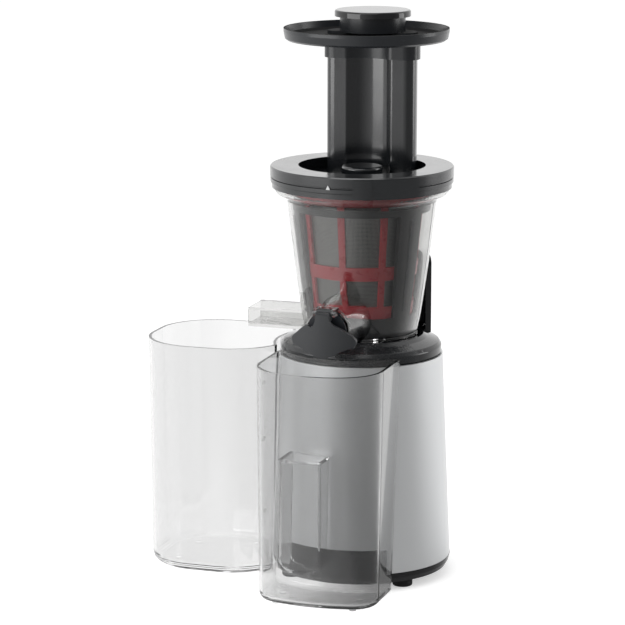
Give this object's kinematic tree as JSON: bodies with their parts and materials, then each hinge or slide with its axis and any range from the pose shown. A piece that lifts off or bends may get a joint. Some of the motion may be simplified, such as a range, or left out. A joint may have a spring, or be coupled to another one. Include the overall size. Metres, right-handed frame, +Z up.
{
  "type": "cold press juicer",
  "caption": "Upright slow juicer: motor base, clear bowl with strainer and auger, feed tube, juice jug and pulp cup.",
  "frame": {"origin": "middle of the whole set's bounding box, at the height of the surface that it stands on", "axes": "+Z up; +X to the right of someone facing the juice spout; -Y towards the juice spout; the drive axis stands at X 47.25 mm, Y 27.6 mm"},
  "size_m": [0.2314, 0.1978, 0.424],
  "materials": {
    "silver_shell": "fine metallic silver paint, satin",
    "black_gloss": "polished black ABS",
    "smoke_black": "dark smoked clear plastic, polished",
    "clear_smoke": "lightly smoked clear copolyester, polished",
    "charcoal": "fine moulded texture, charcoal grey",
    "red_plastic": "moulded red polypropylene, satin",
    "steel": "stainless",
    "laminate": "stamped electrical steel stack",
    "copper": "enamelled copper wire",
    "gear_nylon": "white acetal, as moulded",
    "black_rubber": "matt rubber",
    "silicone": "smooth silicone",
    "board": "solder-masked laminate",
    "inner_black": "as moulded",
    "zinc": "bright zinc plate"
  },
  "bodies": {
    "base": {"base_plate": "inner_black", "rubber_feet": "black_rubber", "bottom_ring": "black_gloss", "body_shell": "silver_shell", "base_screws": "zinc", "top_deck": "black_gloss", "tower_shell": "black_gloss", "tower_liner": "charcoal", "plunger_spring": "steel", "microswitch": "inner_black", "motor_can": "steel", "motor_end_cap": "inner_black", "motor_bearings": "steel", "stator_core": "laminate", "stator_windings": "copper", "gearbox_floor": "inner_black", "ring_gear": "gear_nylon", "gearbox_cover": "inner_black", "output_bearing": "steel", "shaft_seal": "silicone", "deck_screws": "zinc", "switch_housing": "inner_black", "cord_gland": "black_rubber", "control_board": "board"},
    "rocker": {"rocker_switch": "black_gloss"},
    "plunger": {"interlock_plunger": "charcoal"},
    "motor_rotor": {"rotor_core": "laminate", "motor_shaft": "steel", "cooling_fan": "inner_black"},
    "carrier_1": {"first_carrier": "steel"},
    "carrier_2": {"output_shaft": "steel"},
    "bowl": {"juice_bowl": "clear_smoke", "bowl_seal": "silicone", "idler_pin": "steel", "flap_pin": "steel"},
    "idler": {"idler_pinion": "gear_nylon"},
    "flap": {"drip_flap": "charcoal", "flap_seal": "silicone"},
    "wiper": {"wiper_frame": "charcoal", "wiper_blades": "silicone"},
    "strainer": {"strainer_frame": "red_plastic", "strainer_screen": "steel"},
    "auger": {"auger": "charcoal", "auger_pin": "steel"},
    "lid": {"lid": "smoke_black", "lid_bush": "gear_nylon", "lid_seal": "silicone"},
    "tray": {"hopper_tray": "black_gloss"},
    "pusher": {"pusher_body": "charcoal", "pusher_cap": "black_gloss"},
    "jug": {"juice_jug": "clear_smoke"},
    "pulp_cup": {"pulp_container": "clear_smoke"},
    "first_planet_1": {"first_planet_1": "gear_nylon"},
    "first_planet_2": {"first_planet_2": "gear_nylon"},
    "first_planet_3": {"first_planet_3": "gear_nylon"},
    "second_planet_1": {"second_planet_1": "gear_nylon"},
    "second_planet_2": {"second_planet_2": "gear_nylon"},
    "second_planet_3": {"second_planet_3": "gear_nylon"}
  },
  "joints": [
    {"name": "motor_spin", "type": "hinge", "parent": "base", "child": "motor_rotor", "pos_m": [0.04725, 0.0276, 0], "axis": [0, 0, 1], "continuous": true},
    {"name": "carrier_1_spin", "type": "hinge", "parent": "base", "child": "carrier_1", "pos_m": [0.04725, 0.0276, 0], "axis": [0, 0, 1], "continuous": true},
    {"name": "output_spin", "type": "hinge", "parent": "base", "child": "carrier_2", "pos_m": [0.04725, 0.0276, 0], "axis": [0, 0, 1], "continuous": true},
    {"name": "first_planet_1_spin", "type": "hinge", "parent": "carrier_1", "child": "first_planet_1", "pos_m": [0.06975, 0.0276, 0.1], "axis": [0, 0, 1], "continuous": true},
    {"name": "first_planet_2_spin", "type": "hinge", "parent": "carrier_1", "child": "first_planet_2", "pos_m": [0.036, 0.04709, 0.1], "axis": [0, 0, 1], "continuous": true},
    {"name": "first_planet_3_spin", "type": "hinge", "parent": "carrier_1", "child": "first_planet_3", "pos_m": [0.036, 0.00811, 0.1], "axis": [0, 0, 1], "continuous": true},
    {"name": "second_planet_1_spin", "type": "hinge", "parent": "carrier_2", "child": "second_planet_1", "pos_m": [0.06975, 0.0276, 0.1], "axis": [0, 0, 1], "continuous": true},
    {"name": "second_planet_2_spin", "type": "hinge", "parent": "carrier_2", "child": "second_planet_2", "pos_m": [0.036, 0.04709, 0.1], "axis": [0, 0, 1], "continuous": true},
    {"name": "second_planet_3_spin", "type": "hinge", "parent": "carrier_2", "child": "second_planet_3", "pos_m": [0.036, 0.00811, 0.1], "axis": [0, 0, 1], "continuous": true},
    {"name": "bowl_lift", "type": "slide", "parent": "base", "child": "bowl", "axis": [0, 0, 1], "range_m": [0, 0.08]},
    {"name": "strainer_lift", "type": "slide", "parent": "bowl", "child": "strainer", "axis": [0, 0, 1], "range_m": [0, 0.125]},
    {"name": "auger_spin", "type": "hinge", "parent": "strainer", "child": "auger", "pos_m": [0.04725, 0.0276, 0], "axis": [0, 0, 1], "continuous": true},
    {"name": "idler_spin", "type": "hinge", "parent": "bowl", "child": "idler", "pos_m": [0.04725, 0.0546, 0.193], "axis": [0, 0, 1], "continuous": true},
    {"name": "wiper_spin", "type": "hinge", "parent": "bowl", "child": "wiper", "pos_m": [0.04725, 0.0276, 0], "axis": [0, 0, 1], "continuous": true},
    {"name": "lid_lift", "type": "slide", "parent": "strainer", "child": "lid", "axis": [0, 0, 1], "range_m": [0, 0.04]},
    {"name": "tray_lift", "type": "slide", "parent": "lid", "child": "tray", "axis": [0, 0, 1], "range_m": [0, 0.03]},
    {"name": "pusher_lift", "type": "slide", "parent": "tray", "child": "pusher", "axis": [0, 0, 1], "range_m": [0, 0.1]},
    {"name": "jug_slide", "type": "slide", "parent": "base", "child": "jug", "axis": [0, -1, 0], "range_m": [0, 0.06]},
    {"name": "pulp_cup_slide", "type": "slide", "parent": "base", "child": "pulp_cup", "axis": [-1, 0, 0], "range_m": [0, 0.06]},
    {"name": "flap_hinge", "type": "hinge", "parent": "bowl", "child": "flap", "pos_m": [0.04725, -0.0614, 0.2155], "axis": [-1, 0, 0], "range_deg": [0, 75]},
    {"name": "rocker_tilt", "type": "hinge", "parent": "base", "child": "rocker", "pos_m": [0.04725, 0.0926, 0.044], "axis": [1, 0, 0], "range_deg": [-8, 8]},
    {"name": "plunger_slide", "type": "slide", "parent": "base", "child": "plunger", "axis": [0, 0, -1], "range_m": [0, 0.0025], "stiffness_N_per_m": 400, "springref_m": -0.002, "deforming": ["plunger_spring"]}
  ],
  "couplings": [
    {"joint": "carrier_1_spin", "follows": "motor_spin", "ratio": 0.2},
    {"joint": "output_spin", "follows": "motor_spin", "ratio": 0.04},
    {"joint": "first_planet_1_spin", "follows": "motor_spin", "ratio": -0.53333},
    {"joint": "first_planet_2_spin", "follows": "motor_spin", "ratio": -0.53333},
    {"joint": "first_planet_3_spin", "follows": "motor_spin", "ratio": -0.53333},
    {"joint": "second_planet_1_spin", "follows": "motor_spin", "ratio": -0.10667},
    {"joint": "second_planet_2_spin", "follows": "motor_spin", "ratio": -0.10667},
    {"joint": "second_planet_3_spin", "follows": "motor_spin", "ratio": -0.10667},
    {"joint": "auger_spin", "follows": "motor_spin", "ratio": 0.04},
    {"joint": "idler_spin", "follows": "motor_spin", "ratio": -0.08},
    {"joint": "wiper_spin", "follows": "motor_spin", "ratio": -0.02}
  ]
}
